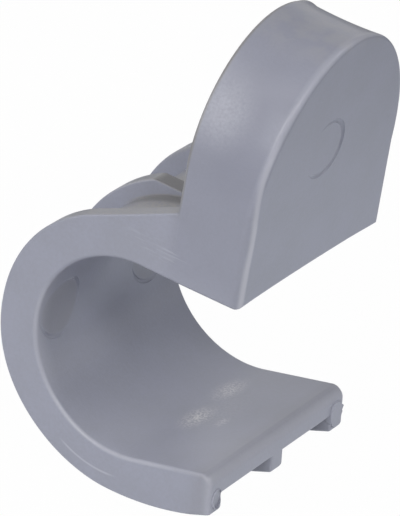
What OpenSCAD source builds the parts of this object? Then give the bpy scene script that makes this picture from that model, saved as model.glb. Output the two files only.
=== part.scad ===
// Snap-on conduit clip, moulded in one piece.
// A ribbed strap curls round the conduit. Below the mouth it runs out as a straight lip,
// and above the mouth it carries a thick block with a round top.
// The conduit runs along Y through the origin, the mouth opens to +X, and +Z is up.

/* [Conduit seat] */
// Outside diameter of the conduit that the strap grips
conduit_d = 20; // [16:0.5:25]
// Width of the clip along the conduit
clip_w = 23; // [18:0.5:30]

/* [Strap] */
// Thickness of the web between the ribs
web_t = 2.3; // [1.5:0.1:3.5]
// Height of the ribs above the web
rib_h = 1.8; // [1:0.1:3]
// Thickness of each rib
rib_t = 2; // [1.4:0.1:3]
// Height above the seat at which the two edge ribs run into the block
gusset_h = 7; // [5.8:0.1:10]
// Height of the middle rib's flat cut above the web
mid_cut_h = 0.3; // [0.1:0.1:0.8]

/* [Lip] */
// Rise of the lip towards its end, in degrees
lip_rise = 15; // [8:1:22]
// Distance from the conduit's axis to the foot of the lip's end
lip_reach = 11.8; // [9:0.1:15]
// Radius of the ribs' outer edge along the lip, seen from the side
lip_rib_r = 28; // [22:0.5:50]
// Lean of the lip's end face back from upright, in degrees
lip_end_lean = 7; // [0:1:15]
// Rounding of the lip's two end corners
lip_corner_r = 0.5; // [0.3:0.1:2]
// Rounding of the edge between the lip's top and its end
lip_edge_r = 1.2; // [0.3:0.1:1.5]

/* [Block] */
// Distance from the conduit's axis forward to the block's rear face
block_back = 2.8; // [1:0.1:5]
// Thickness of the block at its foot
block_t = 7.7; // [5:0.1:12]
// Height of the block above the seat
block_h = 24.3; // [19:0.1:36]
// Lean of the block's end face outwards, in degrees
block_lean = 2.3; // [0:0.1:5]
// Draft by which the block widens towards its end face, in degrees
block_draft = 1.6; // [0:0.1:4]
// Rounding of the rim of the end face
rim_r = 0.6; // [0.2:0.1:1.5]

/* [Ejector mark] */
// Diameter of the ejector pin's mark in the end face
pin_d = 5.8; // [3:0.1:10]
// Depth of the mark
pin_depth = 0.15; // [0.05:0.05:0.5]
// Height of the mark above the middle of the block's round top
pin_rise = 1; // [-3:0.1:3]
// Distance of the mark from the block's middle, towards one side
pin_side = 1.5; // [0:0.1:4]

/* [Hidden] */
$fn = 96;

// Slack by which a cut runs past the face that it opens, and by which joined shapes overlap
past = 1;
// Bite by which shapes that run tangent to each other cross, so that they join cleanly
bite = 0.02;

bore_r = conduit_d / 2;
web_r = bore_r + web_t;
rib_r = web_r + rib_h;

// The edge ribs leave the strap's arc on a tangent that ends on the block's rear face.
gusset_end = [block_back, bore_r + gusset_h];
gusset_polar = atan2(gusset_end[1], gusset_end[0]) + acos(rib_r / norm(gusset_end));
gusset_start = (rib_r - bite) * [cos(gusset_polar), sin(gusset_polar)];
gusset_dir = [sin(gusset_polar), -cos(gusset_polar)];

// The lip leaves the seat on a tangent. Its ribs follow one wide arc from the strap's lowest point.
lip_polar = 270 + lip_rise;
seat_r = bore_r - bite;
lip_start = seat_r * [cos(lip_polar), sin(lip_polar)];
lip_dir = [cos(lip_rise), sin(lip_rise)];
lip_arc_z = lip_rib_r - rib_r + bite;
lip_foot = [lip_reach, lip_arc_z - sqrt(lip_rib_r * lip_rib_r - lip_reach * lip_reach)];

// The lip's end face runs up from its foot and meets the lip's top at this corner.
end_up = [-sin(lip_end_lean), cos(lip_end_lean)];
end_out = [cos(lip_end_lean), sin(lip_end_lean)];
lip_run = (lip_foot - lip_start) * end_out / (lip_dir * end_out);
lip_corner = lip_start + lip_run * lip_dir;

// The block's sides start flush with the strap and widen by the draft up to its end face.
block_r = clip_w / 2;
end_r = block_r + block_t * tan(block_draft);
arch_h = block_h - end_r;
block_front = block_back + block_t;

// Draws a side view of the clip, X and Z, upright and across the conduit.
module plate(width) {
    rotate([90, 0, 0]) linear_extrude(width, center = true) children();
}

// Side view of a disc about the conduit's axis, without the quarter above the mouth.
module strap_disc(radius) {
    difference() {
        circle(radius);
        translate([past, 0]) square(radius);
    }
}

// Side view of a level arm from the strap's top to the block.
module arm(top) {
    square([block_back + past, top]);
}

// The web: level behind the block, round the conduit and straight out along the lip.
module web() {
    plate(clip_w) {
        strap_disc(web_r);
        arm(web_r - bite);
        rotate(lip_polar) square([web_r - bite, lip_run + past]);
    }
}

// One edge rib: it runs up to the block as a straight gusset, and along the lip on the wide arc.
module edge_rib() {
    gusset_top = gusset_end + past * gusset_dir;
    plate(rib_t) {
        strap_disc(rib_r);
        polygon([gusset_start, gusset_top, [gusset_top[0], bore_r / 2], [0, 0]]);
        lip_rib();
    }
}

// The middle rib: its top is cut level just above the web.
module middle_rib() {
    cut_z = web_r + mid_cut_h;
    plate(rib_t) {
        difference() {
            strap_disc(rib_r);
            translate([-rib_r, cut_z]) square(2 * rib_r);
        }
        arm(cut_z);
        lip_rib();
    }
}

// Side view of a rib along the lip.
module lip_rib() {
    intersection() {
        translate([0, lip_arc_z]) circle(lip_rib_r);
        translate([0, -rib_r - past]) square([lip_reach + past, rib_r + past]);
    }
}

// What is trimmed off beyond the lip's end face, leaving rounded corners at both edges.
module lip_trim() {
    wide = clip_w + 2 * past;
    core = clip_w - 2 * lip_corner_r;
    translate([lip_foot[0], 0, lip_foot[1]]) rotate([0, -lip_end_lean, 0]) {
        linear_extrude(2 * rib_r, center = true) difference() {
            translate([-lip_corner_r, -wide / 2]) square([lip_corner_r + rib_r, wide]);
            translate([-2 * lip_corner_r, -core / 2]) square([2 * lip_corner_r, core]);
            for (side = [-1, 1]) {
                translate([-lip_corner_r, side * core / 2]) circle(lip_corner_r + bite);
            }
        }
    }
}

// What is trimmed off the edge between the lip's top and its end, so that it is round.
module lip_edge_trim() {
    corner_angle = 90 + lip_end_lean - lip_rise;
    tangent = lip_edge_r / tan(corner_angle / 2);
    top_point = lip_corner - tangent * lip_dir;
    end_point = lip_corner - tangent * end_up;
    outside = lip_corner + past * (end_up + lip_dir);
    plate(clip_w + 2 * past) difference() {
        polygon([top_point, outside, end_point]);
        translate(end_point - lip_edge_r * end_out) circle(lip_edge_r + bite);
    }
}

// The strap with its ribs, trimmed to the lip's end.
module strap() {
    rib_y = (clip_w - rib_t) / 2;
    difference() {
        union() {
            web();
            middle_rib();
            for (side = [-1, 1]) {
                translate([0, side * rib_y, 0]) edge_rib();
            }
        }
        lip_trim();
        lip_edge_trim();
    }
}

// Half of the block's outline from its rear to its rounded rim, drawn as radius and depth.
module block_half() {
    rear = -past - block_h * tan(block_lean);
    rear_r = block_r + rear * tan(block_draft);
    rim_x = end_r - rim_r * (1 + sin(block_draft)) / cos(block_draft);
    rim_y = block_t - rim_r;
    polygon([
        [0, rear],
        [rear_r, rear],
        [rim_x + rim_r * cos(block_draft), rim_y - rim_r * sin(block_draft)],
        [rim_x, block_t],
        [0, block_t]
    ]);
    translate([rim_x, rim_y]) circle(rim_r);
}

// The leaning block: the half outline turned over the top and run straight down past the seat.
module leaning_block() {
    translate([block_back, 0, bore_r]) rotate([0, block_lean, 0]) translate([0, 0, arch_h]) {
        difference() {
            rotate([90, 0, 90]) {
                rotate_extrude(angle = 180) block_half();
                rotate([90, 0, 0]) linear_extrude(arch_h + past) {
                    block_half();
                    mirror([1, 0]) block_half();
                }
            }
            translate([block_t - pin_depth, -pin_side, pin_rise]) rotate([0, 90, 0]) {
                cylinder(h = past, d = pin_d);
            }
        }
    }
}

// The block with its rear face cut upright.
module block() {
    difference() {
        leaning_block();
        translate([block_back - block_h, -clip_w, 0]) cube([block_h, 2 * clip_w, 2 * (bore_r + block_h)]);
    }
}

// The seat for the conduit and the mouth that it is pushed in through.
module seat_and_mouth() {
    mouth_x = max(lip_reach, block_front + block_h * tan(block_lean)) + past;
    mouth_z = lip_start[1] + (mouth_x - lip_start[0]) * tan(lip_rise);
    long = clip_w + 4 * past;
    rotate([90, 0, 0]) cylinder(h = long, r = bore_r, center = true);
    plate(long) polygon([[0, 0], [0, seat_r], [mouth_x, seat_r], [mouth_x, mouth_z], lip_start]);
}

module clip_body() {
    color("#8f929e") difference() {
        union() {
            strap();
            block();
        }
        seat_and_mouth();
    }
}

clip_body();
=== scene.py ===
"""Looks of a snap-on conduit clip, moulded in one piece of grey polypropylene.

The clip is modelled in millimetres and scaled to metres at the end. The conduit runs along Y
through the origin, the mouth opens to +X, and +Z is up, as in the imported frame.
"""

import logging
import math
from contextlib import contextmanager
from dataclasses import dataclass, field
from enum import Enum
from functools import partial, reduce
from typing import Callable, Iterator, Sequence

import bmesh
import bpy
from mathutils import Matrix, Vector


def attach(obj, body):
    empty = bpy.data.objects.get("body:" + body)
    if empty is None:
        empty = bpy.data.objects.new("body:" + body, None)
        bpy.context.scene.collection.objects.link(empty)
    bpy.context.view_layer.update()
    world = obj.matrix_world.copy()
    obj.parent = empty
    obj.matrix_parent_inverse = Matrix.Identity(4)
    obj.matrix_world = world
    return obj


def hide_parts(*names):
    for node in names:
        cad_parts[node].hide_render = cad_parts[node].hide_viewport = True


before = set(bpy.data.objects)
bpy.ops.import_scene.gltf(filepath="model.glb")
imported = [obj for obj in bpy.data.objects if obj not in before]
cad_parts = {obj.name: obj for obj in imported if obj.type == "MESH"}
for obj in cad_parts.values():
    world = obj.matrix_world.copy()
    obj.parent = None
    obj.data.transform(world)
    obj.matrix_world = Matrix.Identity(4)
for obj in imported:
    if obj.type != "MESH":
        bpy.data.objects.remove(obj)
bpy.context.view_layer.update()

log = logging.getLogger("conduit_clip")

MM = 0.001
IMAGE_LONG_SIDE = 516
SENSOR_WIDTH = 36.0
NEAR = 1e-4

# The numbers of a Mix node's sockets when it mixes colours
MIX_SHARE, MIX_FIRST, MIX_SECOND, MIX_RESULT = 0, 6, 7, 2


class Join(Enum):
    """How two solids become one."""

    UNION = "UNION"
    DIFFERENCE = "DIFFERENCE"


def deselect_all() -> None:
    """Leaves object mode and deselects every object."""
    if bpy.context.object and bpy.context.object.mode != "OBJECT":
        bpy.ops.object.mode_set(mode="OBJECT")
    bpy.ops.object.select_all(action="DESELECT")


def activate(obj: bpy.types.Object) -> None:
    """Selects one object alone and makes it the active one.

    Args:
        obj: The object.
    """
    deselect_all()
    obj.select_set(True)
    bpy.context.view_layer.objects.active = obj


@contextmanager
def editing(obj: bpy.types.Object, mode: str = "VERT") -> Iterator[None]:
    """Opens an object in edit mode with nothing selected, and closes it again.

    Args:
        obj: The object to edit.
        mode: The kind of element that operators select, VERT, EDGE or FACE.
    """
    activate(obj)
    bpy.ops.object.mode_set(mode="EDIT")
    bpy.ops.mesh.select_mode(type=mode)
    bpy.ops.mesh.select_all(action="DESELECT")
    yield
    bpy.ops.object.mode_set(mode="OBJECT")


def pick_verts(obj: bpy.types.Object, test: Callable[[Vector], bool]) -> int:
    """Selects the vertices that pass a test of their place, and what they span.

    Args:
        obj: The object that is in edit mode.
        test: Says of a vertex's place whether it is picked.

    Returns:
        How many vertices were picked.
    """
    shape = bmesh.from_edit_mesh(obj.data)
    bpy.ops.mesh.select_all(action="DESELECT")
    picked = [vert for vert in shape.verts if test(vert.co)]
    for vert in picked:
        vert.select = True
    shape.select_flush(True)
    bmesh.update_edit_mesh(obj.data)
    return len(picked)


def pick_edges(obj: bpy.types.Object, test: Callable[[bmesh.types.BMEdge], bool]) -> int:
    """Selects the edges that pass a test.

    Args:
        obj: The object that is in edit mode.
        test: Says of an edge whether it is picked.

    Returns:
        How many edges were picked.
    """
    bpy.ops.mesh.select_all(action="DESELECT")
    bpy.ops.mesh.select_mode(type="EDGE")
    shape = bmesh.from_edit_mesh(obj.data)
    picked = [edge for edge in shape.edges if test(edge)]
    for edge in picked:
        edge.select = True
    shape.select_flush_mode()
    bmesh.update_edit_mesh(obj.data)
    return len(picked)


def is_convex(edge: bmesh.types.BMEdge, least: float = math.radians(60)) -> bool:
    """Says whether an edge is an outer corner that turns by at least the given angle."""
    return len(edge.link_faces) == 2 and edge.calc_face_angle_signed() > least


def move_verts(obj: bpy.types.Object, place: Callable[[Vector], Vector]) -> None:
    """Moves every vertex of an object that is in edit mode.

    Args:
        obj: The object.
        place: Gives a vertex's new place for its old one.
    """
    shape = bmesh.from_edit_mesh(obj.data)
    for vert in shape.verts:
        vert.co = place(vert.co.copy())
    shape.normal_update()
    bmesh.update_edit_mesh(obj.data)


def between(value: float, nothing: float, full: float) -> float:
    """Gives how far a value has come from nothing to full, as a share from zero to one."""
    return min(1.0, max(0.0, (value - nothing) / (full - nothing)))


def blend(first: float, last: float, share: float) -> float:
    """Goes from a first number to a last one, softly at both ends."""
    return first + share**2 * (3 - 2 * share) * (last - first)


def heal(obj: bpy.types.Object) -> None:
    """Merges doubled vertices of an object and points its faces outwards.

    Args:
        obj: The object.
    """
    with editing(obj):
        bpy.ops.mesh.select_all(action="SELECT")
        bpy.ops.mesh.remove_doubles(threshold=NEAR)
        bpy.ops.mesh.normals_make_consistent(inside=False)


def add_modifier(obj: bpy.types.Object, kind: str, **settings: object) -> None:
    """Adds a modifier with its settings and applies it.

    Args:
        obj: The object to change.
        kind: Blender's name of the modifier's type.
        settings: The modifier's own settings.
    """
    activate(obj)
    modifier = obj.modifiers.new(kind.title(), kind)
    for name, value in settings.items():
        setattr(modifier, name, value)
    bpy.ops.object.modifier_apply(modifier=modifier.name)


def round_edges(
    obj: bpy.types.Object, radius: Callable[[bmesh.types.BMEdge], float], widest: float, steps: int
) -> None:
    """Rounds the outer edges of a solid, each by its own radius.

    Args:
        obj: The solid.
        radius: Gives an outer edge's radius.
        widest: The largest radius that it gives.
        steps: How many faces each rounding gets.
    """
    with editing(obj, "EDGE"):
        shape = bmesh.from_edit_mesh(obj.data)
        weight = shape.edges.layers.float.new("bevel_weight_edge")
        for edge in shape.edges:
            edge[weight] = radius(edge) / widest if is_convex(edge) else 0.0
        bmesh.update_edit_mesh(obj.data)
    add_modifier(
        obj, "BEVEL", width=widest, segments=steps, limit_method="WEIGHT", use_clamp_overlap=False
    )
    heal(obj)


def combine(base: bpy.types.Object, tool: bpy.types.Object, how: Join) -> None:
    """Joins a tool to a base solid and deletes the tool.

    Args:
        base: The solid that is changed.
        tool: The solid that is added or cut away.
        how: The kind of Boolean.
    """
    add_modifier(base, "BOOLEAN", object=tool, operation=how.value, solver="EXACT")
    deselect_all()
    bpy.data.objects.remove(tool, do_unlink=True)


def upright(name: str, size: Sequence[float], middle: Sequence[float]) -> bpy.types.Object:
    """Adds a rectangle that stands across X.

    Args:
        name: The new object's name.
        size: Its height along Z and its width along Y.
        middle: Its middle.

    Returns:
        The new object, at the origin and unscaled.
    """
    deselect_all()
    bpy.ops.mesh.primitive_plane_add(size=1, location=middle, rotation=(0, math.radians(90), 0))
    obj = bpy.context.object
    obj.name = name
    obj.scale = (size[0], size[1], 1)
    bpy.ops.object.transform_apply(location=True, rotation=True, scale=True)
    return obj


@dataclass
class Strap:
    """The ribbed strap: an E-shaped section run round the conduit and out along the lip.

    Lengths are in millimetres. The swells, eases, spread and drop are the small distortions of a
    moulding that cooled unevenly.
    """

    bore_r: float = 10.0
    width: float = 23.0
    web_t: float = 2.3
    rib_h: float = 1.82
    rib_t: float = 2.0
    turn_steps: int = 130
    lip_rise: float = math.radians(15)
    lip_rib_r: float = 28.0
    lip_foot: float = 11.8
    lip_lean: float = math.radians(7)
    lip_steps: int = 16
    lip_round: float = 1.25
    lip_round_steps: int = 10
    lip_round_profile: float = 0.45
    lip_thicken: float = 0.22
    block_back: float = 2.75
    near_gusset_z: float = 16.95
    far_gusset_z: float = 17.0
    near_swell: float = 0.1
    far_swell: float = 0.18
    middle_ease: float = 0.1
    low_ease: float = 0.07
    low_shift: float = 0.09
    far_spread: float = 0.16
    far_drop: float = 0.1
    middle_z: float = 12.6
    bury: float = 1.0
    arm_steps: int = 4
    seat_edge_r: float = 0.45
    rib_edge_r: float = 0.2
    far_edge_r: float = 0.25
    end_round: float = 0.95
    pin_y: tuple[float, float] = (-7.9, 7.2)
    pin_z: float = -0.25
    pin_r: float = 3.0
    edge_steps: int = 4

    @property
    def half(self) -> float:
        """Half of the clip's width."""
        return self.width / 2

    @property
    def web_r(self) -> float:
        """Radius of the web's outside."""
        return self.bore_r + self.web_t

    @property
    def rib_r(self) -> float:
        """Radius of the ribs' outside."""
        return self.web_r + self.rib_h

    @property
    def foot_z(self) -> float:
        """Height of the ribs' outside at the lip's end."""
        return self.lip_rib_r - self.rib_r - math.sqrt(self.lip_rib_r**2 - self.lip_foot**2)

    def build(self) -> bpy.types.Object:
        """Builds the strap.

        Returns:
            The strap as a closed solid with rounded edges, in millimetres.
        """
        strap = self._section()
        self._sweep(strap)
        self._raise_ribs(strap)
        self._end_lip(strap)
        self._round_edges(strap)
        return strap

    def _section(self) -> bpy.types.Object:
        """Draws the E-shaped section at the top of the strap.

        Returns:
            The section as faces that stand across X.
        """
        middle = (0, 0, self.bore_r + self.web_t / 2)
        section = upright("clip_body_finish", (self.web_t, self.width), middle)
        rib_sides = (self.half - self.rib_t, self.rib_t / 2)
        with editing(section, "EDGE"):
            for side in (-1, 1):
                for rib_side in rib_sides:
                    bpy.ops.mesh.select_all(action="SELECT")
                    bpy.ops.mesh.bisect(plane_co=(0, side * rib_side, 0), plane_no=(0, 1, 0))
            pick_edges(section, self._under_rib)
            bpy.ops.mesh.extrude_region_move(TRANSFORM_OT_translate={"value": (0, 0, self.rib_h)})
            move_verts(section, self._spread)
        return section

    def _spread(self, co: Vector) -> Vector:
        """Moves a place on the strap's far side out a little, and leaves every other place."""
        return co + Vector((0, self.far_spread, 0)) if co.y > self.half - NEAR else co

    def _under_rib(self, edge: bmesh.types.BMEdge) -> bool:
        """Says whether an edge of the section is the foot of a rib.

        Args:
            edge: The edge.

        Returns:
            True for a rib's foot.
        """
        first, last = (vert.co for vert in edge.verts)
        level = abs(first.z - self.web_r) < NEAR and abs(last.z - self.web_r) < NEAR
        across = abs((first.y + last.y) / 2)
        return level and (across < self.rib_t / 2 or across > self.half - self.rib_t)

    def _sweep(self, strap: bpy.types.Object) -> None:
        """Turns the section round the conduit and runs it out along the lip and under the block.

        Args:
            strap: The section, which becomes the strap.
        """
        turn = math.radians(180) + self.lip_rise
        lip_step = (math.cos(self.lip_rise), 0, math.sin(self.lip_rise))
        long_step = self.lip_round + 2 * self.bury
        straight = self.lip_foot / math.cos(self.lip_rise) - self.bore_r * math.tan(self.lip_rise)
        short_step = (straight - long_step) / self.lip_steps
        arm_step = (self.block_back + self.bury) / self.arm_steps
        with editing(strap, "FACE"):
            bpy.ops.mesh.select_all(action="SELECT")
            bpy.ops.mesh.spin(
                steps=self.turn_steps,
                angle=turn,
                center=(0, 0, 0),
                axis=(0, 1, 0),
                use_auto_merge=False,
            )
            for step in [short_step] * self.lip_steps + [long_step]:
                value = tuple(step * part for part in lip_step)
                bpy.ops.mesh.extrude_region_move(TRANSFORM_OT_translate={"value": value})
        heal(strap)
        with editing(strap, "FACE"):
            pick_verts(strap, lambda co: abs(co.x) < NEAR and co.z > 0)
            for _ in range(self.arm_steps):
                bpy.ops.mesh.extrude_region_move(TRANSFORM_OT_translate={"value": (arm_step, 0, 0)})
        heal(strap)

    def _raise_ribs(self, strap: bpy.types.Object) -> None:
        """Moves the ribs' outside up to the gussets, down to the cut and in along the lip."""
        with editing(strap):
            move_verts(strap, self._rib_place)

    def _rib_place(self, co: Vector) -> Vector:
        """Gives the place of a vertex after the ribs are shaped.

        Args:
            co: The vertex's place on the plain sweep.

        Returns:
            Its place on the finished rib, or co itself away from the ribs' outside.
        """
        depth = self._depth(co)
        if co.y > self.half and co.z > 0 and co.x > 0:
            co = co - Vector((0, self.far_spread * co.x / (self.block_back + self.bury), 0))
        if depth < self.web_t - NEAR:
            return co
        if depth < self.web_t + NEAR:
            return self._onto_lip_web(co) if self._on_lip(co) else co
        if self._on_lip(co):
            return self._onto_lip_arc(co)
        return self._onto_top(co) if co.z > 0 else self._onto_bottom(co)

    def _on_lip(self, co: Vector) -> bool:
        """Says whether a place lies past the strap's lowest point, towards the lip's end."""
        return co.z < 0 and co.x > NEAR

    def _depth(self, co: Vector) -> float:
        """Gives how far a place lies outside the seat, the lip's top and the arm's underside.

        Args:
            co: The place.

        Returns:
            Its depth in the strap, in millimetres.
        """
        if co.z > 0 and co.x >= 0:
            return co.z - self.bore_r
        along = co.x * math.cos(self.lip_rise) + co.z * math.sin(self.lip_rise)
        if co.z > 0 or along < 0:
            return math.hypot(co.x, co.z) - self.bore_r
        return co.x * math.sin(self.lip_rise) - co.z * math.cos(self.lip_rise) - self.bore_r

    def _onto_lip_web(self, co: Vector) -> Vector:
        """Lowers a place on the web's outside, so that the web thickens towards the lip's end."""
        return co - Vector((0, 0, self.lip_thicken * max(0.0, co.x / self.lip_foot)))

    def _onto_lip_arc(self, co: Vector) -> Vector:
        """Moves a place on a rib straight up or down onto the wide arc under the lip.

        Args:
            co: The place on the plain sweep.

        Returns:
            The place on the arc, which hangs a little lower on the far rib.
        """
        centre_z = self.lip_rib_r - self.rib_r
        on_far_rib = co.y > self.half - self.rib_t - NEAR
        drop = self.far_drop * co.x / self.lip_foot if on_far_rib else 0.0
        return Vector((co.x, co.y, centre_z - math.sqrt(self.lip_rib_r**2 - co.x**2) - drop))

    def _onto_bottom(self, co: Vector) -> Vector:
        """Eases a place on a rib in a little on the strap's lower rear quarter.

        Args:
            co: The place on the plain sweep.

        Returns:
            The eased place, which has moved most towards the bottom.
        """
        turn = math.atan2(co.z, co.x)
        ease = self.low_ease * math.sin(2 * turn) ** 2 - self.low_shift * math.sin(4 * turn)
        share = 1 - ease / math.hypot(co.x, co.z)
        return Vector((share * co.x, co.y, share * co.z))

    def _onto_top(self, co: Vector) -> Vector:
        """Moves a place on a rib's top along its own section.

        Args:
            co: The place on the plain sweep.

        Returns:
            The place on the gusset, the flat cut or the swelling round before them.
        """
        top_z = self.near_gusset_z if co.y < 0 else self.far_gusset_z
        reach = math.hypot(self.block_back, top_z)
        tangent = math.atan2(top_z, self.block_back) + math.acos(self.rib_r / reach)
        middle = abs(co.y) < self.rib_t
        if co.x >= -NEAR:
            gusset_z = (self.rib_r - co.x * math.cos(tangent)) / math.sin(tangent)
            return Vector((co.x, co.y, self.middle_z if middle else gusset_z))
        polar = math.atan2(co.z, co.x)
        if middle:
            radius = min(self.rib_r - self.middle_ease, self.middle_z / math.sin(polar))
        else:
            swell = self.near_swell if co.y < 0 else self.far_swell
            radius = self.rib_r / math.cos(max(0.0, tangent - polar))
            radius += swell * math.sin(2 * polar) ** 2
        return Vector((radius * math.cos(polar), co.y, radius * math.sin(polar)))

    def _end_lip(self, strap: bpy.types.Object) -> None:
        """Cuts the lip to its leaning end face and rounds the edge that the conduit slides in over.

        Args:
            strap: The strap.
        """
        foot = (self.lip_foot, 0, self.foot_z)
        normal = (math.cos(self.lip_lean), 0, math.sin(self.lip_lean))
        with editing(strap):
            pick_verts(strap, self._on_lip)
            bpy.ops.mesh.bisect(plane_co=foot, plane_no=normal, use_fill=True, clear_outer=True)
            pick_edges(strap, self._is_lip_edge)
            bpy.ops.mesh.bevel(
                offset=self.lip_round,
                segments=self.lip_round_steps,
                profile=self.lip_round_profile,
                affect="EDGES",
                clamp_overlap=False,
            )
        heal(strap)

    def _is_lip_edge(self, edge: bmesh.types.BMEdge) -> bool:
        """Says whether an edge runs across the lip between its top and its end face.

        Args:
            edge: The edge.

        Returns:
            True for the edge that the conduit slides in over.
        """
        first, last = (vert.co for vert in edge.verts)
        middle = (first + last) / 2
        across = abs(first.y - last.y) > self.rib_t / 2
        at_end = middle.x > self.lip_foot - self.rib_t
        on_top = abs(self._depth(middle)) < 100 * NEAR
        return across and at_end and on_top and is_convex(edge)

    def _round_edges(self, strap: bpy.types.Object) -> None:
        """Rounds every outer edge of the strap by its own radius, as the mould leaves it."""
        widest = max(self.seat_edge_r, self.end_round)
        round_edges(strap, self._edge_radius, widest, self.edge_steps)

    def _edge_radius(self, edge: bmesh.types.BMEdge) -> float:
        """Gives the rounding of an outer edge, or nothing on the end that the block hides.

        Args:
            edge: The edge.

        Returns:
            Its radius in millimetres.
        """
        first, last = (vert.co for vert in edge.verts)
        middle = (first + last) / 2
        if min(first.x, last.x) > self.block_back + self.bury - NEAR and middle.z > 0:
            return 0.0
        on_end = min(self._end_gap(first), self._end_gap(last)) > -NEAR
        if abs(middle.y) > self.half - NEAR and (on_end or self._depth(middle) < self.web_t / 2):
            return self.seat_edge_r if middle.y < 0 else self.far_edge_r
        if on_end:
            return self.far_edge_r
        on_rib = self._on_lip(middle) and self._depth(middle) > self.web_t + self.rib_h / 2
        far_sides = (self.rib_t - self.half, self.rib_t / 2, self.half + self.far_spread)
        if on_rib and any(abs(middle.y - side) < self.rib_t / 4 for side in far_sides):
            return self.rib_edge_r + middle.x / self.lip_foot * (self.end_round - self.rib_edge_r)
        return self.rib_edge_r

    def seat_x(self, z: float) -> float:
        """Gives where the back of the seat stands along X at a height."""
        return -math.sqrt(self.bore_r**2 - z**2)

    def end_x(self, z: float) -> float:
        """Gives where the lip's end face stands along X at a height."""
        return self.lip_foot - (z - self.foot_z) * math.tan(self.lip_lean)

    def _end_gap(self, co: Vector) -> float:
        """Gives how far a place lies beyond the lip's end face."""
        if co.z > 0:
            return -self.width
        return (co.x - self.end_x(co.z)) * math.cos(self.lip_lean)


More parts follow.
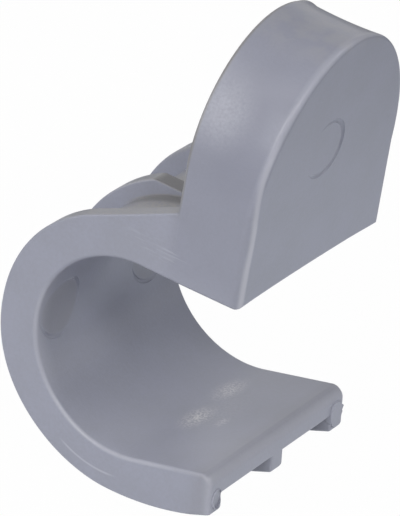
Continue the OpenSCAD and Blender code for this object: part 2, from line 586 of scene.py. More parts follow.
@dataclass
class Block:
    """The thick block above the mouth: a round-topped form that swells and leans to its end face.

    Lengths are in millimetres. Each blend names where one rounding starts to give way to another and
    where it has done so: along Y for the foot and the far side, and above the spring for the arch.
    """

    back_x: float = 2.72
    front_x: float = 10.5
    foot_z: float = 10.0
    back_half: float = 11.5
    front_half: float = 11.72
    near_swell: float = 0.6
    near_tuck: float = 0.45
    flush: float = 0.15
    far_swell: float = 0.18
    far_flare: float = 1.0
    back_tip: float = 0.5
    flash_h: float = 0.28
    flash_y: tuple[float, float] = (3.5, 8.6)
    back_spring: float = 21.55
    front_spring: float = 19.75
    back_top: float = 34.15
    front_top: float = 34.42
    lean: float = math.radians(2.3)
    sink: float = 0.24
    side_fullness: float = 0.12
    foot_bow: float = 0.2
    foot_cuts: int = 15
    rings: int = 12
    arch_steps: int = 128
    rim_r: float = 1.0
    arch_rim_r: float = 0.7
    far_rim_r: float = 0.2
    back_r: float = 0.42
    foot_r: float = 0.38
    near_foot_r: float = 0.6
    near_corner_r: float = 0.25
    near_back_r: float = 0.6
    rim_steps: int = 5
    foot_blend_y: tuple[float, float] = (8.0, 11.0)
    arch_blend_z: tuple[float, float] = (-3.0, 4.0)
    far_blend_y: tuple[float, float] = (-6.0, 10.0)

    def build(self) -> bpy.types.Object:
        """Builds the block.

        Returns:
            The block as a closed solid with rounded rims, in millimetres.
        """
        block = self._outline()
        self._thicken(block)
        self._round_rims(block)
        return block

    def _outline(self) -> bpy.types.Object:
        """Draws the arched outline of the rear face, one unit high above and below its spring.

        Returns:
            The outline as one face across X.
        """
        deselect_all()
        bpy.ops.mesh.primitive_circle_add(
            vertices=self.arch_steps, radius=1, fill_type="NGON", rotation=(0, math.radians(90), 0)
        )
        block = bpy.context.object
        block.name = "block"
        bpy.ops.object.transform_apply(location=True, rotation=True, scale=True)
        with editing(block, "EDGE"):
            bpy.ops.mesh.select_all(action="SELECT")
            bpy.ops.mesh.bisect(plane_co=(0, 0, 0), plane_no=(0, 0, 1), clear_inner=True)
            pick_edges(block, lambda edge: all(abs(vert.co.z) < NEAR for vert in edge.verts))
            bpy.ops.mesh.extrude_region_move(TRANSFORM_OT_translate={"value": (0, 0, -1)})
            pick_edges(block, lambda edge: all(abs(vert.co.z + 1) < NEAR for vert in edge.verts))
            bpy.ops.mesh.subdivide(number_cuts=self.foot_cuts)
            bpy.ops.mesh.select_all(action="SELECT")
            bpy.ops.mesh.dissolve_faces()
        return block

    def _thicken(self, block: bpy.types.Object) -> None:
        """Extrudes the outline ring by ring from the rear to the end face, then sizes each ring.

        Args:
            block: The outline, which becomes the block.
        """
        with editing(block, "FACE"):
            bpy.ops.mesh.select_all(action="SELECT")
            for step in [1] * (self.rings - 2) + [2]:
                value = (step / self.rings, 0, 0)
                bpy.ops.mesh.extrude_region_move(TRANSFORM_OT_translate={"value": value})
            move_verts(block, self._place)
        heal(block)

    def _place(self, co: Vector) -> Vector:
        """Gives a vertex's place on the block.

        Args:
            co: Its place on the plain unit form, where X runs from rear to end face.

        Returns:
            Its place in millimetres.
        """
        depth = co.x
        bulge = 4 * depth * (1 - depth)
        half = self.back_half + depth * (self.front_half - self.back_half)
        half += self.side_fullness * bulge * between(co.z, -1, 0)
        spring = self.back_spring + depth * (self.front_spring - self.back_spring)
        top = self.back_top + depth * (self.front_top - self.back_top) - self.sink * bulge
        side, rise = co.y, co.z
        if rise > 0:
            on_back = max(0.0, 1 - self.rings * depth)
            top += (1 - depth) * self.back_tip * side + on_back * self._flash(side * half)
            z = spring + rise * (top - spring)
        else:
            z = spring + rise * (spring - self.foot_z)
        if rise < -1 + NEAR:
            z += self.foot_bow * depth * max(0.0, 1 - side**2)
        lean = math.tan(self.lean) * (z - self.foot_z)
        x = self.back_x + depth * (self.front_x - self.back_x + lean)
        if side > 0:
            half += depth * (self.far_swell * abs(rise) + self.far_flare * max(0.0, -rise))
        else:
            forward = max(0.0, depth - self.flush) / (1 - self.flush)
            half += forward * (self.near_swell * (1 - abs(rise)) - self.near_tuck * max(0.0, -rise))
        return Vector((x, side * half, z))

    def end_x(self, z: float) -> float:
        """Gives where the end face stands along X at a height."""
        return self.front_x + math.tan(self.lean) * (z - self.foot_z)

    def _flash(self, y: float) -> float:
        """Gives how far the flash at the parting line stands up from the rear edge."""
        first, last = self.flash_y
        return self.flash_h * max(0.0, 1 - ((2 * y - first - last) / (last - first)) ** 2)

    def _round_rims(self, block: bpy.types.Object) -> None:
        """Rounds the rims of the rear and end faces and the foot's two side edges."""
        round_edges(block, self._edge_radius, self.rim_r, self.rim_steps)

    def _edge_radius(self, edge: bmesh.types.BMEdge) -> float:
        """Gives the rounding of an outer edge, softest on the near half of the end's rim.

        Args:
            edge: The edge.

        Returns:
            Its radius in millimetres.
        """
        first, last = (vert.co for vert in edge.verts)
        middle = (first + last) / 2
        if max(first.x, last.x) < self.back_x + NEAR:
            return self.near_back_r if middle.y < 0 and middle.z < self.back_spring else self.back_r
        if max(first.z, last.z) < self.foot_z + 2 * self.foot_bow:
            depth = (middle.x - self.back_x) / (self.front_x - self.back_x)
            near_r = self.near_foot_r + depth * (self.near_corner_r - self.near_foot_r)
            side_r = near_r if middle.y < 0 else self.far_rim_r
            return self.foot_r + between(abs(middle.y), *self.foot_blend_y) * (side_r - self.foot_r)
        upwards = between(middle.z - self.front_spring, *self.arch_blend_z)
        near_r = blend(self.rim_r, self.arch_rim_r, upwards)
        return blend(near_r, self.far_rim_r, between(middle.y, *self.far_blend_y))


@dataclass
class PinRing:
    """The fine ring round an ejector pin, pressed into a wall that looks along +X.

    It is deepest on one side or more, given as angles from +Y towards +Z, and runs out between them.
    """

    y: float
    z: float
    wall: Callable[[float], float]
    radius: float = 2.8
    wire_r: float = 0.2
    depth: float = 0.19
    far_depth: float = -0.03
    deep_sides: tuple[float, ...] = (36.0, -110.0)
    narrowness: float = 6.0
    steps: int = 96
    wire_steps: int = 14

    def cut(self, body: bpy.types.Object) -> None:
        """Presses the ring into a solid.

        Args:
            body: The solid that is marked.
        """
        deselect_all()
        bpy.ops.mesh.primitive_torus_add(
            major_segments=self.steps,
            minor_segments=self.wire_steps,
            major_radius=self.radius,
            minor_radius=self.wire_r,
            rotation=(0, math.radians(90), 0),
        )
        ring = bpy.context.object
        bpy.ops.object.transform_apply(location=True, rotation=True, scale=True)
        with editing(ring):
            move_verts(ring, self._place)
        combine(body, ring, Join.DIFFERENCE)

    def _place(self, co: Vector) -> Vector:
        """Lays a point of the ring on the wall.

        Args:
            co: Its place about the ring's middle.

        Returns:
            Its place on the clip.
        """
        turn = math.atan2(co.z, co.y)
        nearness = [0.5 + 0.5 * math.cos(turn - math.radians(side)) for side in self.deep_sides]
        share = max(nearness) ** self.narrowness
        depth = self.far_depth + share * (self.depth - self.far_depth)
        z = self.z + co.z
        return Vector((self.wall(z) + self.wire_r - depth + co.x, self.y + co.y, z))


@dataclass
class LipEndMark:
    """The oval print of a small ejector pin on the lip's end: a raised pad, hollow or ragged."""

    y: float
    z: float
    half_y: float
    half_z: float
    height: float
    root: float = 0.5
    hollow: float = 0.0
    hollow_shift: float = 0.0
    hollow_share: float = 0.93
    hollow_clear: float = 1.0
    ragged: float = 0.0
    tear_turn: float = 0.45
    tear_teeth: int = 11
    tear_narrowness: float = 6.0

    def add(self, body: bpy.types.Object, strap: Strap) -> None:
        """Adds the mark to a solid.

        Args:
            body: The solid that is marked.
            strap: The strap whose end face it stands on.
        """
        combine(body, self._disc(strap, -self.root, self.height), Join.UNION)
        if self.hollow:
            hollow = self._disc(
                strap, -self.hollow, self.hollow_clear, self.hollow_shift, self.hollow_share
            )
            combine(body, hollow, Join.DIFFERENCE)

    def _disc(
        self, strap: Strap, start: float, stop: float, shift: float = 0.0, share: float = 1.0
    ) -> bpy.types.Object:
        """Adds an oval disc that stands across the lip's end face.

        Args:
            strap: The strap whose end face it stands on.
            start: Where it starts, beyond the end face.
            stop: Where it stops, beyond the end face.
            shift: How far its middle stands from the pad's, along Y.
            share: Its size against the pad's.

        Returns:
            The disc as a solid.
        """
        out = Vector((math.cos(strap.lip_lean), 0, math.sin(strap.lip_lean)))
        foot = Vector((strap.end_x(self.z), self.y + shift, self.z))
        deselect_all()
        bpy.ops.mesh.primitive_cylinder_add(
            vertices=64,
            radius=1,
            depth=stop - start,
            location=foot + out * (start + stop) / 2,
            rotation=(0, math.radians(90) - strap.lip_lean, 0),
        )
        disc = bpy.context.object
        disc.scale = (share * self.half_z, share * self.half_y, 1)
        bpy.ops.object.transform_apply(location=True, rotation=True, scale=True)
        with editing(disc):
            move_verts(disc, lambda co: self._tear(co, foot))
        return disc

    def _tear(self, co: Vector, foot: Vector) -> Vector:
        """Moves a point of the rim out where flash has torn on the far side.

        Args:
            co: The point.
            foot: The disc's middle.

        Returns:
            The moved point.
        """
        side, rise = co.y - foot.y, co.z - foot.z
        turn = math.atan2(rise, side) - self.tear_turn
        teeth = 0.6 + 0.4 * math.cos(self.tear_teeth * turn)
        torn = self.ragged * max(0.0, math.cos(turn)) ** self.tear_narrowness * teeth
        return co + Vector((0, side, rise)) * torn


def linear(code: str) -> tuple[float, float, float, float]:
    """Turns an sRGB hex colour into Blender's linear colour.

    Args:
        code: The colour, such as #8f929e.

    Returns:
        Red, green, blue and an alpha of one.
    """
    parts = [int(code[start : start + 2], 16) / 255 for start in (1, 3, 5)]
    red, green, blue = ((p / 12.92) if p <= 0.04045 else ((p + 0.055) / 1.055) ** 2.4 for p in parts)
    return red, green, blue, 1.0


def add_node(
    tree: bpy.types.NodeTree,
    kind: str,
    settings: dict[object, object] | None = None,
    links: dict[object, bpy.types.NodeSocket] | None = None,
) -> bpy.types.Node:
    """Adds a node with its settings and links.

    Args:
        tree: The node tree that the node joins.
        kind: Blender's name of the node's type.
        settings: Values by name, first of the node's own settings, else of its input sockets.
        links: What feeds each input socket, by the socket's name or number.

    Returns:
        The new node.
    """
    node = tree.nodes.new(kind)
    for name, value in (settings or {}).items():
        if isinstance(name, str) and hasattr(node, name):
            setattr(node, name, value)
        else:
            node.inputs[name].default_value = value
    for name, source in (links or {}).items():
        tree.links.new(source, node.inputs[name])
    return node


@dataclass(frozen=True)
class Field:
    """A number that varies over a surface. Arithmetic on it grows its node tree."""

    tree: bpy.types.NodeTree
    socket: bpy.types.NodeSocket

    def _worked_out(self, how: str, *parts: "Field | float") -> "Field":
        """Works out fields and plain numbers.

        Args:
            how: The arithmetic operation.
            parts: What it works on, in order.

        Returns:
            The result.
        """
        numbers = {place: part for place, part in enumerate(parts) if not isinstance(part, Field)}
        links = {place: part.socket for place, part in enumerate(parts) if isinstance(part, Field)}
        node = add_node(self.tree, "ShaderNodeMath", {"operation": how, **numbers}, links)
        return Field(self.tree, node.outputs[0])

    def __add__(self, other: "Field | float") -> "Field":
        """Gives the sum."""
        return self._worked_out("ADD", self, other)

    def __sub__(self, other: "Field | float") -> "Field":
        """Gives the difference."""
        return self._worked_out("SUBTRACT", self, other)

    def __rsub__(self, other: float) -> "Field":
        """Gives what this leaves of a plain number."""
        return self._worked_out("SUBTRACT", other, self)

    def __mul__(self, other: "Field | float") -> "Field":
        """Gives the product."""
        return self._worked_out("MULTIPLY", self, other)

    def __truediv__(self, other: "Field | float") -> "Field":
        """Gives the quotient."""
        return self._worked_out("DIVIDE", self, other)

    def __gt__(self, other: float) -> "Field":
        """Gives one where this is more than a number, and zero elsewhere."""
        return self._worked_out("GREATER_THAN", self, other)

    def __lt__(self, other: float) -> "Field":
        """Gives one where this is less than a number, and zero elsewhere."""
        return self._worked_out("LESS_THAN", self, other)

    def __abs__(self) -> "Field":
        """Gives the size without its sign."""
        return self._worked_out("ABSOLUTE", self)

    def at_most(self, limit: float) -> "Field":
        """Gives this, held down to a limit."""
        return self._worked_out("MINIMUM", self, limit)

    def or_more(self, *others: "Field | float") -> "Field":
        """Gives the largest of this and the others."""
        return reduce(partial(self._worked_out, "MAXIMUM"), others, self)

    def across(self, other: "Field") -> "Field":
        """Gives the distance that this and the other span at a right angle."""
        return self._worked_out("POWER", self * self + other * other, 0.5)

    def fade(self, nothing: float, full: float) -> "Field":
        """Turns this into a share that rises smoothly from zero to one.

        Args:
            nothing: The value at which the share is zero.
            full: The value at which it is one, above or below the other.

        Returns:
            The share.
        """
        limits = {"From Min": min(nothing, full), "From Max": max(nothing, full)}
        ends = {"To Min": float(nothing > full), "To Max": float(nothing < full)}
        settings = {"interpolation_type": "SMOOTHSTEP", **limits, **ends}
        node = add_node(self.tree, "ShaderNodeMapRange", settings, {"Value": self.socket})
        return Field(self.tree, node.outputs["Result"])


@dataclass(frozen=True)
class Surface:
    """The places on a surface, and the patterns and distances that start from them."""

    tree: bpy.types.NodeTree
    places: bpy.types.NodeSocket

    def axes(self) -> tuple[Field, ...]:
        """Gives X, Y and Z."""
        split = add_node(self.tree, "ShaderNodeSeparateXYZ", links={"Vector": self.places})
        return tuple(Field(self.tree, axis) for axis in split.outputs)

    def scaled(self, scale: Sequence[float]) -> "Surface":
        """Gives the surface with its places scaled along each axis."""
        node = add_node(self.tree, "ShaderNodeMapping", {"Scale": scale}, {"Vector": self.places})
        return Surface(self.tree, node.outputs["Vector"])

    def pattern(self, size: float) -> Field:
        """Gives an irregular pattern of about the given grain size, between zero and one."""
        settings = {"Scale": 1 / size, "Detail": 3.0, "Roughness": 0.6}
        node = add_node(self.tree, "ShaderNodeTexNoise", settings, {"Vector": self.places})
        return Field(self.tree, node.outputs["Fac"])

    def distance(self, spot: Sequence[float], scale: Sequence[float] = (1.0, 1.0, 1.0)) -> Field:
        """Gives the distance from a spot.

        Args:
            spot: The spot.
            scale: What a length counts along each axis.

        Returns:
            The distance.
        """
        middle = tuple(part * share for part, share in zip(spot, scale))
        settings = {"operation": "DISTANCE", 1: middle}
        node = add_node(self.tree, "ShaderNodeVectorMath", settings, {0: self.scaled(scale).places})
        return Field(self.tree, node.outputs["Value"])


@dataclass(frozen=True)
class MouldedPolypropylene:
    """Grey polypropylene as it leaves a fine-eroded steel mould, a little handled.

    It gives the eye an even blue-grey with faint cloudy flow, a soft wide sheen and a fine grain.
    Painted shade makes the block a shade darker behind its end face, darkest in the middle of its
    near side. Painted highlights run along the outer edges, painted light brightens the lip's end
    and low seat, a painted sheen speckles the block's near shoulder, and scuffs on the lip are painted
    bright as glints. Fine streaks run along the near side above the seat. Dust lies on the crown, and
    behind the block it is painted pale, so that it also paints light onto the web and rib tops. Grime
    lies on the lip and in the pins' prints; painted shadow darkens the middle rib's flat top, and
    painted shade darkens the block's rear rim and, with grime, the ribs' feet.

    The fields that end in _mm are sizes and places on the clip. A pair of places says where a mark
    fades in, from nothing to full. The fields that end in _share say how much of a colour is mixed in
    at most. The grain is drawn coarser than eroded steel leaves it, so that it shows.
    """

    strap: Strap
    block: Block
    name: str = "moulded_grey_polypropylene"
    pale: str = "#9b9ead"
    dark: str = "#979aa7"
    # the colour of the painted shade on the block
    block_shade: str = "#858897"
    # the pale colour of painted highlights and painted light, of the streaks and of the witness line
    highlight_and_pale_mark: str = "#c4c6d0"
    # the colour of the lip's scuffs, painted bright as glints
    scuff_and_glint: str = "#d8d8da"
    # dust, painted pale so that behind the block it also paints light onto the tops
    dust_and_top_light: str = "#acabaa"
    # grime, also the colour of painted shade and shadow
    grime_and_shade: str = "#88888b"
    ior: float = 1.49
    roughness: float = 0.36
    roughness_spread: float = 0.05
    cloud_mm: float = 5.0
    cloud_range: tuple[float, float] = (0.3, 0.7)
    grain_mm: float = 0.3
    grain_height_mm: float = 0.018
    block_shade_share: float = 0.4
    belly_share: float = 0.4
    belly_y_mm: tuple[float, float] = (-2.0, -7.0)
    smear_mm: float = 2.0
    top_z_mm: tuple[float, float] = (8.0, 11.0)
    hollow_dust_and_light_share: float = 0.9
    rib_dust_and_light_share: float = 0.6
    crown_dust_share: float = 0.25
    flat_shadow_share: float = 0.9
    foot_grime_and_shade_shares: tuple[float, float] = (0.95, 0.6)
    print_grime_share: float = 0.4
    bore_back_mm: tuple[float, float] = (-6.0, -8.0)
    lip_grime_share: float = 0.25
    rim_line: tuple[float, float, float] = (0.2, 0.6, -0.1)
    rim_width: tuple[float, float] = (0.25, 0.27)
    rim_strength: tuple[float, float, float, float] = (0.14, 0.42, 0.34, 0.08)
    rim_y_mm: tuple[float, float] = (4.0, -5.0)
    seat_edge_share: float = 0.29
    seat_edge_x_mm: tuple[float, float] = (10.0, 4.0)
    seat_z_mm: tuple[float, float] = (7.0, 1.0)
    near_edge_highlight_share: float = 1.5
    near_edge_highlight_z_mm: tuple[float, float] = (-10.0, 0.0)
    seat_light_share: float = 0.55
    seat_light_mm: tuple[float, float] = (-11.0, -3.0)
    lip_end_share: float = 0.95
    witness_mm: tuple[float, float, float] = (-0.61, -2.82, 9.72)
    witness_share: float = 0.45
    witness_ends_mm: tuple[tuple[float, float], ...] = ((-5.6, -4.4), (1.4, 0.0))
    witness_z_mm: tuple[float, float] = (-10.0, -11.0)
    streak_mm: float = 0.5
    streak_scale: tuple[float, float, float] = (0.12, 1.0, 2.2)
    streak_patch_scale: tuple[float, float, float] = (0.35, 1.0, 1.0)
    streak_patch_mm: tuple[float, float] = (1.6, 0.4)
    streak_share: float = 0.3
    # the spot and radius of the painted sheen on the block's near shoulder
    sheen_spot_mm: tuple[float, float, float, float] = (4.6, -9.9, 27.6, 4.4)
    sheen_share: float = 0.65
    scuff_mm: float = 0.22
    # the scuffs painted as glints: place, radius and share
    scuffs_and_glints_mm: tuple[tuple[float, float, float, float, float], ...] = (
        (2.95, -0.87, -9.55, 1.9, 1.0),
        (2.24, 5.79, -9.74, 1.8, 0.8),
        (5.57, -0.85, -8.84, 0.8, 0.7),
        (4.2, 1.5, -9.1, 3.6, 0.14),
    )

    def material(self) -> bpy.types.Material:
        """Builds the material.

        Returns:
            The material, on Object coordinates.
        """
        material = bpy.data.materials.new(self.name)
        material.use_nodes = True
        tree = material.node_tree
        tree.nodes.clear()
        metres = Surface(tree, add_node(tree, "ShaderNodeTexCoord").outputs["Object"])
        surface = metres.scaled((1 / MM, 1 / MM, 1 / MM))
        grain = surface.pattern(self.grain_mm)
        spread = (self.roughness - self.roughness_spread, self.roughness + self.roughness_spread)
        gloss = grain * (spread[1] - spread[0]) + spread[0]
        bump = add_node(
            tree,
            "ShaderNodeBump",
            {"Strength": 1.0, "Distance": self.grain_height_mm * MM},
            {"Height": grain.socket},
        )
        skin = add_node(
            tree,
            "ShaderNodeBsdfPrincipled",
            {"IOR": self.ior},
            {
                "Base Color": self._colour(surface, grain),
                "Roughness": gloss.socket,
                "Normal": bump.outputs["Normal"],
            },
        )
        add_node(tree, "ShaderNodeOutputMaterial", links={"Surface": skin.outputs["BSDF"]})
        return material

    def _colour(self, surface: Surface, grain: Field) -> bpy.types.NodeSocket:
        """Mixes the plastic's own mottled colour with the dust, grime, streaks and marks on it, and
        with its painted light and shade.

        Args:
            surface: The clip's surface in millimetres.
            grain: The fine grain.

        Returns:
            The socket that gives the colour.
        """
        mottle = surface.pattern(self.cloud_mm) + (grain - 0.5)
        shade = add_node(surface.tree, "ShaderNodeValToRGB", links={"Fac": mottle.socket})
        ends = zip(shade.color_ramp.elements, self.cloud_range, (self.dark, self.pale))
        for element, position, code in ends:
            element.position = position
            element.color = linear(code)
        colour = shade.outputs["Color"]
        for code, share in (
            (self.block_shade, self._block_shade(surface)),
            (self.dust_and_top_light, self._dust_and_top_light(surface, grain)),
            (self.grime_and_shade, self._grime_and_shade(surface)),
            (self.highlight_and_pale_mark, self._highlights_and_witness(surface)),
            (self.highlight_and_pale_mark, self._streaked(surface)),
            (self.highlight_and_pale_mark, self._painted_sheen(surface, grain)),
            (self.scuff_and_glint, self._scuffs_and_glints(surface)),
        ):
            settings = {"data_type": "RGBA", MIX_SECOND: linear(code)}
            links = {MIX_SHARE: share.socket, MIX_FIRST: colour}
            colour = add_node(surface.tree, "ShaderNodeMix", settings, links).outputs[MIX_RESULT]
        return colour

    def _forward(self, x: Field, z: Field) -> Field:
        """Gives a place's X as it would be if the block's end face stood upright."""
        return x - (z - self.block.foot_z) * math.tan(self.block.lean)

    def _behind(self, x: Field, y: Field) -> Field:
        """Finds what lies behind the block, away from the strap's two sides."""
        inside = abs(y).fade(self.strap.half - 0.05, self.strap.half - 0.2)
        return inside * x.fade(self.strap.block_back, self.strap.block_back - 0.3)

    def _block_shade(self, surface: Surface) -> Field:
        """Finds where painted shade darkens the block behind its end face, most of all the middle of
        its near side.

        Args:
            surface: The clip's surface in millimetres.

        Returns:
            The painted shade's share.
        """
        x, y, z = surface.axes()
        block = self.block
        forward = self._forward(x, z)
        beside_rim = (
            forward.fade(block.front_x - 3.4, block.front_x - 1)
            * z.fade(block.front_top - 4, block.front_top - 6)
            * z.fade(block.front_spring + 5.75, block.front_spring + 7.5)
        )
        # painted shade over the belly of the near side, kept off the strip beside the rim
        belly = (
            (1.0 - beside_rim)
            * z.fade(block.foot_z + 9, block.foot_z + 15)
            * z.fade(block.front_top - 1, block.front_top - 4)
            * x.fade(block.back_x, block.back_x + 5)
            * y.fade(*self.belly_y_mm)
            * self.belly_share
        )
        in_front = x.fade(block.back_x - 1, block.back_x + 1)
        above = z.fade(block.foot_z - 2, block.foot_z + 3)
        from_end = forward.fade(block.front_x - 0.1, block.front_x - block.rim_r)
        return in_front * above * from_end * (belly + self.block_shade_share)

    def _dust_and_top_light(self, surface: Surface, grain: Field) -> Field:
        """Finds where dust lies on the block's crown, and the pale dust behind the block that also
        paints light onto the web and rib tops.

        Args:
            surface: The clip's surface in millimetres.
            grain: The fine grain, which breaks the dust up.

        Returns:
            The share of dust and painted light.
        """
        x, y, z = surface.axes()
        web_r, rib_r = self.strap.web_r, self.strap.rib_r
        away = x.across(z)
        on_top = away.fade(web_r - 0.3, web_r - 0.05) * z.fade(*self.top_z_mm)
        on_web = away.fade(web_r + 0.35, web_r + 0.1)
        on_rib = away.fade(rib_r - 0.3, rib_r - 0.1) * self.rib_dust_and_light_share
        specks = grain.fade(0.25, 0.6)
        behind = self._behind(x, y)
        # dust painted pale, which also paints light onto the web and rib tops behind the block
        hollow = on_top * on_web.or_more(on_rib) * behind * specks * self.hollow_dust_and_light_share
        on_crown = z.fade(self.block.front_top - 2.12, self.block.front_top - 0.22)
        smears = surface.pattern(self.smear_mm).fade(0.35, 0.65)
        return hollow.or_more(on_crown * smears * self.crown_dust_share)

    def _grime_and_shade(self, surface: Surface) -> Field:
        """Finds the grime on the lip and in the pins' prints, the painted shadow on the middle rib's
        flat top, and the painted shade on the rear rim and, with grime, at the ribs' feet.

        Args:
            surface: The clip's surface in millimetres.

        Returns:
            The share of grime and painted shade.
        """
        x, y, z = surface.axes()
        strap, block = self.strap, self.block
        behind = self._behind(x, y)
        # painted shadow of the block on the middle rib's flat top
        level = abs(z - strap.middle_z).fade(0.16, 0.04)
        middle = abs(y).fade(strap.rib_t, strap.rib_t / 2)
        flat = level * middle * behind * self.flat_shadow_share
        on_web = x.across(z).fade(strap.web_r + 0.35, strap.web_r + 0.05)
        low = on_web * z.fade(*self.top_z_mm)
        rib_sides = (-strap.rib_t / 2, strap.half - strap.rib_t)
        # grime and painted shade in the corners at the ribs' feet
        feet = [
            y.fade(side - 1.7, side - 0.7) * y.fade(side + 0.1, side) * low * behind * share
            for side, share in zip(rib_sides, self.foot_grime_and_shade_shares)
        ]
        flattened = (0.0, 1.0, 1.0)
        pins = [surface.distance((0.0, pin_y, strap.pin_z), flattened) for pin_y in strap.pin_y]
        in_bore = x.fade(*self.bore_back_mm) * self.print_grime_share
        prints = [away.fade(strap.pin_r, strap.pin_r - 0.5) * in_bore for away in pins]
        # painted shade along the block's rear rim
        on_rear = x.fade(block.back_x + 0.55, block.back_x + 0.25)
        rim = on_rear * z.fade(block.foot_z + 6, block.foot_z + 9)
        lip_end = strap.lip_foot
        on_lip = x.fade(lip_end - 3.3, lip_end - 1.5) * x.fade(lip_end - 0.2, lip_end - 0.9)
        lip = on_lip * z.fade(0.0, -3.0) * self.lip_grime_share
        return flat.or_more(rim, lip, *feet, *prints)

    def _highlights_and_witness(self, surface: Surface) -> Field:
        """Finds the painted highlights and painted light on the edges and lip, and the mould's witness
        line.
        """
        seat_edge = self._seat_edge(surface) * self.seat_edge_share
        return self._rim(surface).or_more(seat_edge, self._witness(surface) * self.witness_share)

    def _rim(self, surface: Surface) -> Field:
        """Draws a painted highlight along the near half of the rim of the block's end face.

        The line follows the same swell and tuck as the block. It is faint over the arch, and wider,
        stronger and further in from the edge along the straight side, in shares of the rim's radius.

        Args:
            surface: The clip's surface in millimetres.

        Returns:
            The painted highlight's share.
        """
        x, y, z = surface.axes()
        block = self.block
        above = z - block.front_spring
        up = above.or_more(0.0) / (block.front_top - block.front_spring)
        down = above.at_most(0.0) / (block.foot_z - block.front_spring)
        half = (1.0 - up - down) * block.near_swell + block.front_half - down * block.near_tuck
        inwards = (1.0 - (y / half).across(up)) * (block.front_half / block.rim_r)
        low = z.fade(block.front_spring + 8.5, block.front_spring + 5.75)
        high = z.fade(block.front_top - 7, block.front_top - 4)
        straight = z.fade(block.front_spring + 4.5, block.front_spring - 1.5)
        foot = z.fade(block.foot_z + 7, block.foot_z + 4)
        arch_line, straight_line, foot_line = self.rim_line
        line = straight * straight_line + foot * foot_line + arch_line
        arch_width, straight_width = self.rim_width
        width = straight * straight_width + arch_width
        at_least, when_straight, when_low, when_high = self.rim_strength
        strength = low * when_low + straight * when_straight + high * when_high + at_least
        on_line = (abs(inwards - line) / width).fade(1.0, 0.15)
        forward = self._forward(x, z)
        on_end = forward.fade(block.front_x - block.rim_r, block.front_x - 0.5 * block.rim_r)
        above_foot = z.fade(block.foot_z - 1, block.foot_z)
        return strength * on_line * on_end * y.fade(*self.rim_y_mm) * above_foot

    def _seat_edge(self, surface: Surface) -> Field:
        """Paints highlights on the seat's near edge and the lip's near edge and corner, and paints
        light onto the low seat and the lip's end.

        Args:
            surface: The clip's surface in millimetres.

        Returns:
            The share of painted highlight and light.
        """
        x, y, z = surface.axes()
        strap, edge_r = self.strap, self.strap.seat_edge_r
        run, rise = math.cos(strap.lip_rise), math.sin(strap.lip_rise)
        along = x * run + z * rise
        under_lip = (x * rise - z * run) * (along > 0.0)
        depth = under_lip + x.across(z) * (along < 0.0) - strap.bore_r
        low = z.fade(*self.seat_z_mm)
        # painted highlight on the seat's near edge
        edge = depth.fade(edge_r, 0.4 * edge_r) * low * x.fade(*self.seat_edge_x_mm)
        inwards = y.fade(2.6 - strap.half, -strap.half)
        # painted highlight along the lip's near top edge
        near_edge_highlight = depth.fade(0.5, 0.1) * inwards * z.fade(*self.near_edge_highlight_z_mm) * low * self.near_edge_highlight_share
        # painted light on the low seat towards the lip
        seat_light = depth.fade(0.3, 0.1) * along.fade(*self.seat_light_mm) * low * self.seat_light_share
        forward = x + (z - strap.foot_z) * math.tan(strap.lip_lean)
        corner = forward.fade(strap.lip_foot - edge_r, strap.lip_foot - 0.4 * edge_r) * low
        # painted light on the lip's end face
        end = forward.fade(strap.lip_foot - 1.2, strap.lip_foot - 0.1) * low * self.lip_end_share
        near = y.fade(edge_r - strap.half, 0.4 * edge_r - strap.half)
        return end.or_more(near_edge_highlight, seat_light, near * edge.or_more(corner))

    def _witness(self, surface: Surface) -> Field:
        """Draws the mould's faint witness line, a stretch of an arc low on the near side.

        Args:
            surface: The clip's surface in millimetres.

        Returns:
            The line's share.
        """
        x, y, z = surface.axes()
        centre_x, centre_z, radius = self.witness_mm
        aside = abs((x - centre_x).across(z - centre_z) - radius)
        start, stop = self.witness_ends_mm
        stretch = x.fade(*start) * x.fade(*stop) * z.fade(*self.witness_z_mm)
        near = y.fade(0.15 - self.strap.half, 0.05 - self.strap.half)
        return aside.fade(0.14, 0.05) * stretch * near

    def _streaked(self, surface: Surface) -> Field:
        """Draws fine streaks along the near side above the seat.

        Args:
            surface: The clip's surface in millimetres.

        Returns:
            The streaks' share.
        """
        lines = surface.scaled(self.streak_scale).pattern(self.streak_mm)
        spot = (1.2, -self.strap.half, self.strap.web_r + 0.4)
        patch = surface.distance(spot, self.streak_patch_scale).fade(*self.streak_patch_mm)
        return patch * lines.fade(0.52, 0.68) * self.streak_share

    def _painted_sheen(self, surface: Surface, grain: Field) -> Field:
        """Paints a speckled sheen on the block's near shoulder."""
        *spot, radius = self.sheen_spot_mm
        return surface.distance(spot).fade(radius, 0.0) * grain * self.sheen_share

    def _scuffs_and_glints(self, surface: Surface) -> Field:
        """Speckles the lip with scuffs that are painted bright as glints.

        Args:
            surface: The clip's surface in millimetres.

        Returns:
            The speckles' share.
        """
        long_in_y = (1.0, 0.5, 1.0)
        first, *others = (
            surface.distance(spot, long_in_y).fade(radius, 0.0) * share
            for *spot, radius, share in self.scuffs_and_glints_mm
        )
        return first.or_more(*others) * surface.pattern(self.scuff_mm).fade(0.34, 0.66)


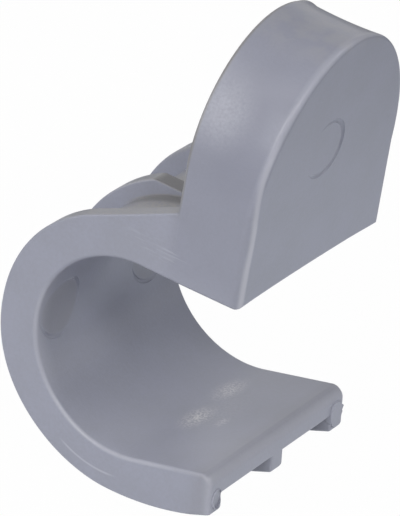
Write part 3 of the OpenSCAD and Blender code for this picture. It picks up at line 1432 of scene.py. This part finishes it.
@dataclass
class ClipBody:
    """The whole clip: strap, block and marks joined in one moulding."""

    strap: Strap = field(default_factory=Strap)
    block: Block = field(default_factory=Block)
    smooth_angle: float = math.radians(25)

    def build(self) -> bpy.types.Object:
        """Builds and dresses the clip.

        Returns:
            The finished piece in metres, riding on the root body.
        """
        body = self.strap.build()
        combine(body, self.block.build(), Join.UNION)
        self._mark(body)
        self._dress(body)
        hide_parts("clip_body")
        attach(body, "root")
        return body

    def _mark(self, body: bpy.types.Object) -> None:
        """Presses the ejector pins' marks into the end face, the bore's back and the lip's end.

        Args:
            body: The joined clip.
        """
        strap = self.strap
        bore_rings = [PinRing(y, strap.pin_z, strap.seat_x, strap.pin_r) for y in strap.pin_y]
        for ring in (
            PinRing(
                y=-1.5,
                z=23.6,
                wall=self.block.end_x,
                wire_r=0.3,
                depth=0.26,
                deep_sides=(-8.0,),
                narrowness=1.0,
            ),
            *bore_rings,
        ):
            ring.cut(body)
        for mark in (
            LipEndMark(
                y=-10.4,
                z=-10.15,
                half_y=0.8,
                half_z=1.05,
                height=0.12,
                hollow=0.2,
                hollow_shift=0.14,
            ),
            LipEndMark(y=10.25, z=-9.9, half_y=0.95, half_z=1.35, height=0.18, ragged=0.36),
        ):
            mark.add(body, strap)

    def _dress(self, body: bpy.types.Object) -> None:
        """Scales the piece to metres, smooths its shading and gives it its material.

        Args:
            body: The joined clip.
        """
        heal(body)
        activate(body)
        body.scale = (MM, MM, MM)
        bpy.ops.object.transform_apply(location=True, rotation=True, scale=True)
        bpy.ops.object.shade_smooth_by_angle(angle=self.smooth_angle)
        add_modifier(body, "WEIGHTED_NORMAL", keep_sharp=True)
        body.data.materials.clear()
        body.data.materials.append(MouldedPolypropylene(self.strap, self.block).material())


@dataclass(frozen=True)
class Softbox:
    """A square soft lamp that looks at the clip, in metres and watts."""

    name: str
    place: tuple[float, float, float]
    power: float
    size: float = 0.20
    colour: str = "#fffdfb"
    aim: tuple[float, float, float] = (0.0, 0.0, 0.01)

    def build(self) -> None:
        """Adds the lamp to the scene."""
        data = bpy.data.lights.new(self.name, "AREA")
        data.size = self.size
        data.energy = self.power
        data.color = linear(self.colour)[:3]
        lamp = bpy.data.objects.new(self.name, data)
        lamp.location = self.place
        look = Vector(self.aim) - Vector(self.place)
        lamp.rotation_euler = look.to_track_quat("-Z", "Y").to_euler()
        bpy.context.scene.collection.objects.link(lamp)


@dataclass
class Studio:
    """The pale floor, the soft lights and the camera at the photograph's viewing angle."""

    floor_z: float = -0.01413
    floor_size: float = 6.0
    paper: str = "#d4d4d4"
    white: str = "#ffffff"
    white_share: float = 0.985
    sheen: str = "#eff4ff"
    floor_middle: tuple[float, float] = (0.01, 0.015)
    floor_bright: float = 0.03
    floor_dim: float = 0.13
    bright_level: float = 1.2
    dim_level: float = 0.15
    wall: str = "#f3f5fd"
    wall_height: float = 0.4
    ceiling: str = "#cbc4b6"
    ceiling_height: float = 0.95
    front: tuple[float, float, float] = (0.42, -0.86, 0.28)
    front_level: float = 0.34
    back_level: float = 0.26
    backdrop_height: float = 0.34
    backdrop_fade: float = 0.1
    above_level: float = 0.3
    lamps: tuple[Softbox, ...] = (
        Softbox("key_softbox", (-0.05, -0.57, 0.4), 1.55),
        Softbox("front_softbox", (0.27, -0.52, 0.3), 0.25),
        Softbox("side_softbox", (-0.2, -0.15, 0.03), 0.04, size=0.08),
        Softbox("high_softbox", (0.35, -0.35, 0.5), 1.2),
        Softbox("rear_softbox", (0.36, 0.28, 0.53), 0.6, colour="#fbfcff"),
        Softbox("left_softbox", (-0.35, -0.25, 0.45), 0.55),
        Softbox("low_softbox", (0.665, -0.14, 0.07), 0.06, colour="#e8eeff"),
    )
    focal_pixels: float = 4000.0
    nearest: float = 0.01
    eye: tuple[float, float, float] = (0.156513, -0.284339, 0.191806)
    right: tuple[float, float, float] = (0.818023, 0.553530, 0.156343)
    up: tuple[float, float, float] = (-0.393467, 0.340252, 0.854056)

    def build(self) -> None:
        """Sets up floor, lights, world and camera."""
        self._floor()
        self._world()
        for lamp in self.lamps:
            lamp.build()
        self._camera()
        bpy.context.scene.view_settings.view_transform = "Standard"

    def _floor(self) -> None:
        """Lays the floor, white to the camera and with a faint shadow of the clip."""
        deselect_all()
        bpy.ops.mesh.primitive_plane_add(size=self.floor_size, location=(0, 0, self.floor_z))
        floor = bpy.context.object
        floor.name = "floor"
        bpy.ops.object.transform_apply(location=True)
        material = bpy.data.materials.new("pale_floor")
        material.use_nodes = True
        tree = material.node_tree
        tree.nodes.clear()
        paper = add_node(tree, "ShaderNodeBsdfDiffuse", {"Color": linear(self.paper)})
        straight = Field(tree, add_node(tree, "ShaderNodeLightPath").outputs["Is Camera Ray"])
        colour = add_node(
            tree,
            "ShaderNodeMix",
            {"data_type": "RGBA", MIX_FIRST: linear(self.sheen), MIX_SECOND: linear(self.white)},
            {MIX_SHARE: straight.socket},
        ).outputs[MIX_RESULT]
        level = self._floor_level(straight).socket
        glow = add_node(tree, "ShaderNodeEmission", links={"Color": colour, "Strength": level})
        shown = self._shows_backdrop(tree) * self.white_share
        mixed = add_node(
            tree,
            "ShaderNodeMixShader",
            links={0: shown.socket, 1: paper.outputs[0], 2: glow.outputs[0]},
        )
        add_node(tree, "ShaderNodeOutputMaterial", links={"Surface": mixed.outputs[0]})
        floor.data.materials.append(material)

    def _floor_level(self, straight: Field) -> Field:
        """Makes the floor white to the camera, and dimmer away from the clip in the clip's sheen.

        Args:
            straight: One for the camera's own rays, zero for others.

        Returns:
            The floor's brightness.
        """
        tree = straight.tree
        floor = Surface(tree, add_node(tree, "ShaderNodeTexCoord").outputs["Object"])
        away = floor.distance((*self.floor_middle, self.floor_z))
        bright = away.fade(self.floor_dim, self.floor_bright)
        level = bright * (self.bright_level - self.dim_level) + self.dim_level
        return straight + level * (1.0 - straight)

    def _shows_backdrop(self, tree: bpy.types.NodeTree) -> Field:
        """Tells rays that show the white backdrop from rays that light the clip.

        Args:
            tree: The node tree that asks.

        Returns:
            One for a ray that shows the backdrop, zero for others.
        """
        path = add_node(tree, "ShaderNodeLightPath").outputs
        kinds = ("Is Camera Ray", "Is Glossy Ray", "Is Transmission Ray")
        straight, *others = (Field(tree, path[kind]) for kind in kinds)
        return straight.or_more(*others)

    def _world(self) -> None:
        """Sets an even white surround, dimmer as light than to the camera."""
        world = bpy.data.worlds.new("white_surround")
        bpy.context.scene.world = world
        world.use_nodes = True
        tree = world.node_tree
        tree.nodes.clear()
        way = add_node(tree, "ShaderNodeTexCoord").outputs["Generated"]
        facing = add_node(
            tree, "ShaderNodeVectorMath", {"operation": "DOT_PRODUCT", 1: self.front}, {0: way}
        )
        height = add_node(tree, "ShaderNodeSeparateXYZ", links={"Vector": way}).outputs["Z"]
        sky = add_node(tree, "ShaderNodeValToRGB", links={"Fac": height})
        heights = (self.wall_height, self.ceiling_height)
        ends = zip(sky.color_ramp.elements, heights, (self.wall, self.ceiling))
        for element, position, code in ends:
            element.position = position
            element.color = linear(code)
        level = add_node(
            tree,
            "ShaderNodeMapRange",
            {"From Min": -1.0, "To Min": self.back_level, "To Max": self.front_level},
            {"Value": facing.outputs["Value"]},
        )
        light = add_node(
            tree,
            "ShaderNodeBackground",
            links={"Color": sky.outputs["Color"], "Strength": level.outputs["Result"]},
        )
        backdrop_top = self.backdrop_height + self.backdrop_fade
        backdrop = add_node(
            tree,
            "ShaderNodeMapRange",
            {
                "From Min": self.backdrop_height,
                "From Max": backdrop_top,
                "To Min": 1.0,
                "To Max": self.above_level,
            },
            {"Value": height},
        )
        straight = Field(tree, add_node(tree, "ShaderNodeLightPath").outputs["Is Camera Ray"])
        glow = straight.or_more(Field(tree, backdrop.outputs["Result"]))
        white = add_node(
            tree, "ShaderNodeBackground", {"Color": linear(self.white)}, {"Strength": glow.socket}
        )
        mixed = add_node(
            tree,
            "ShaderNodeMixShader",
            links={0: self._shows_backdrop(tree).socket, 1: light.outputs[0], 2: white.outputs[0]},
        )
        add_node(tree, "ShaderNodeOutputWorld", links={"Surface": mixed.outputs[0]})

    def _camera(self) -> None:
        """Adds the camera, turned and rolled as the photograph's."""
        data = bpy.data.cameras.new("camera")
        data.sensor_width = SENSOR_WIDTH
        data.lens = self.focal_pixels * SENSOR_WIDTH / IMAGE_LONG_SIDE
        data.clip_start = self.nearest
        camera = bpy.data.objects.new("camera", data)
        right, up = Vector(self.right), Vector(self.up)
        turn = Matrix((right, up, right.cross(up))).transposed().to_4x4()
        camera.matrix_world = Matrix.Translation(self.eye) @ turn
        bpy.context.scene.collection.objects.link(camera)
        bpy.context.scene.camera = camera


def main() -> None:
    """Builds the clip and its studio."""
    logging.basicConfig(level=logging.INFO, format="%(name)s: %(message)s")
    body = ClipBody().build()
    log.info("%s: %d faces", body.name, len(body.data.polygons))
    Studio().build()
    log.info("studio: floor, lamps and camera")


if __name__ == "__main__":
    main()
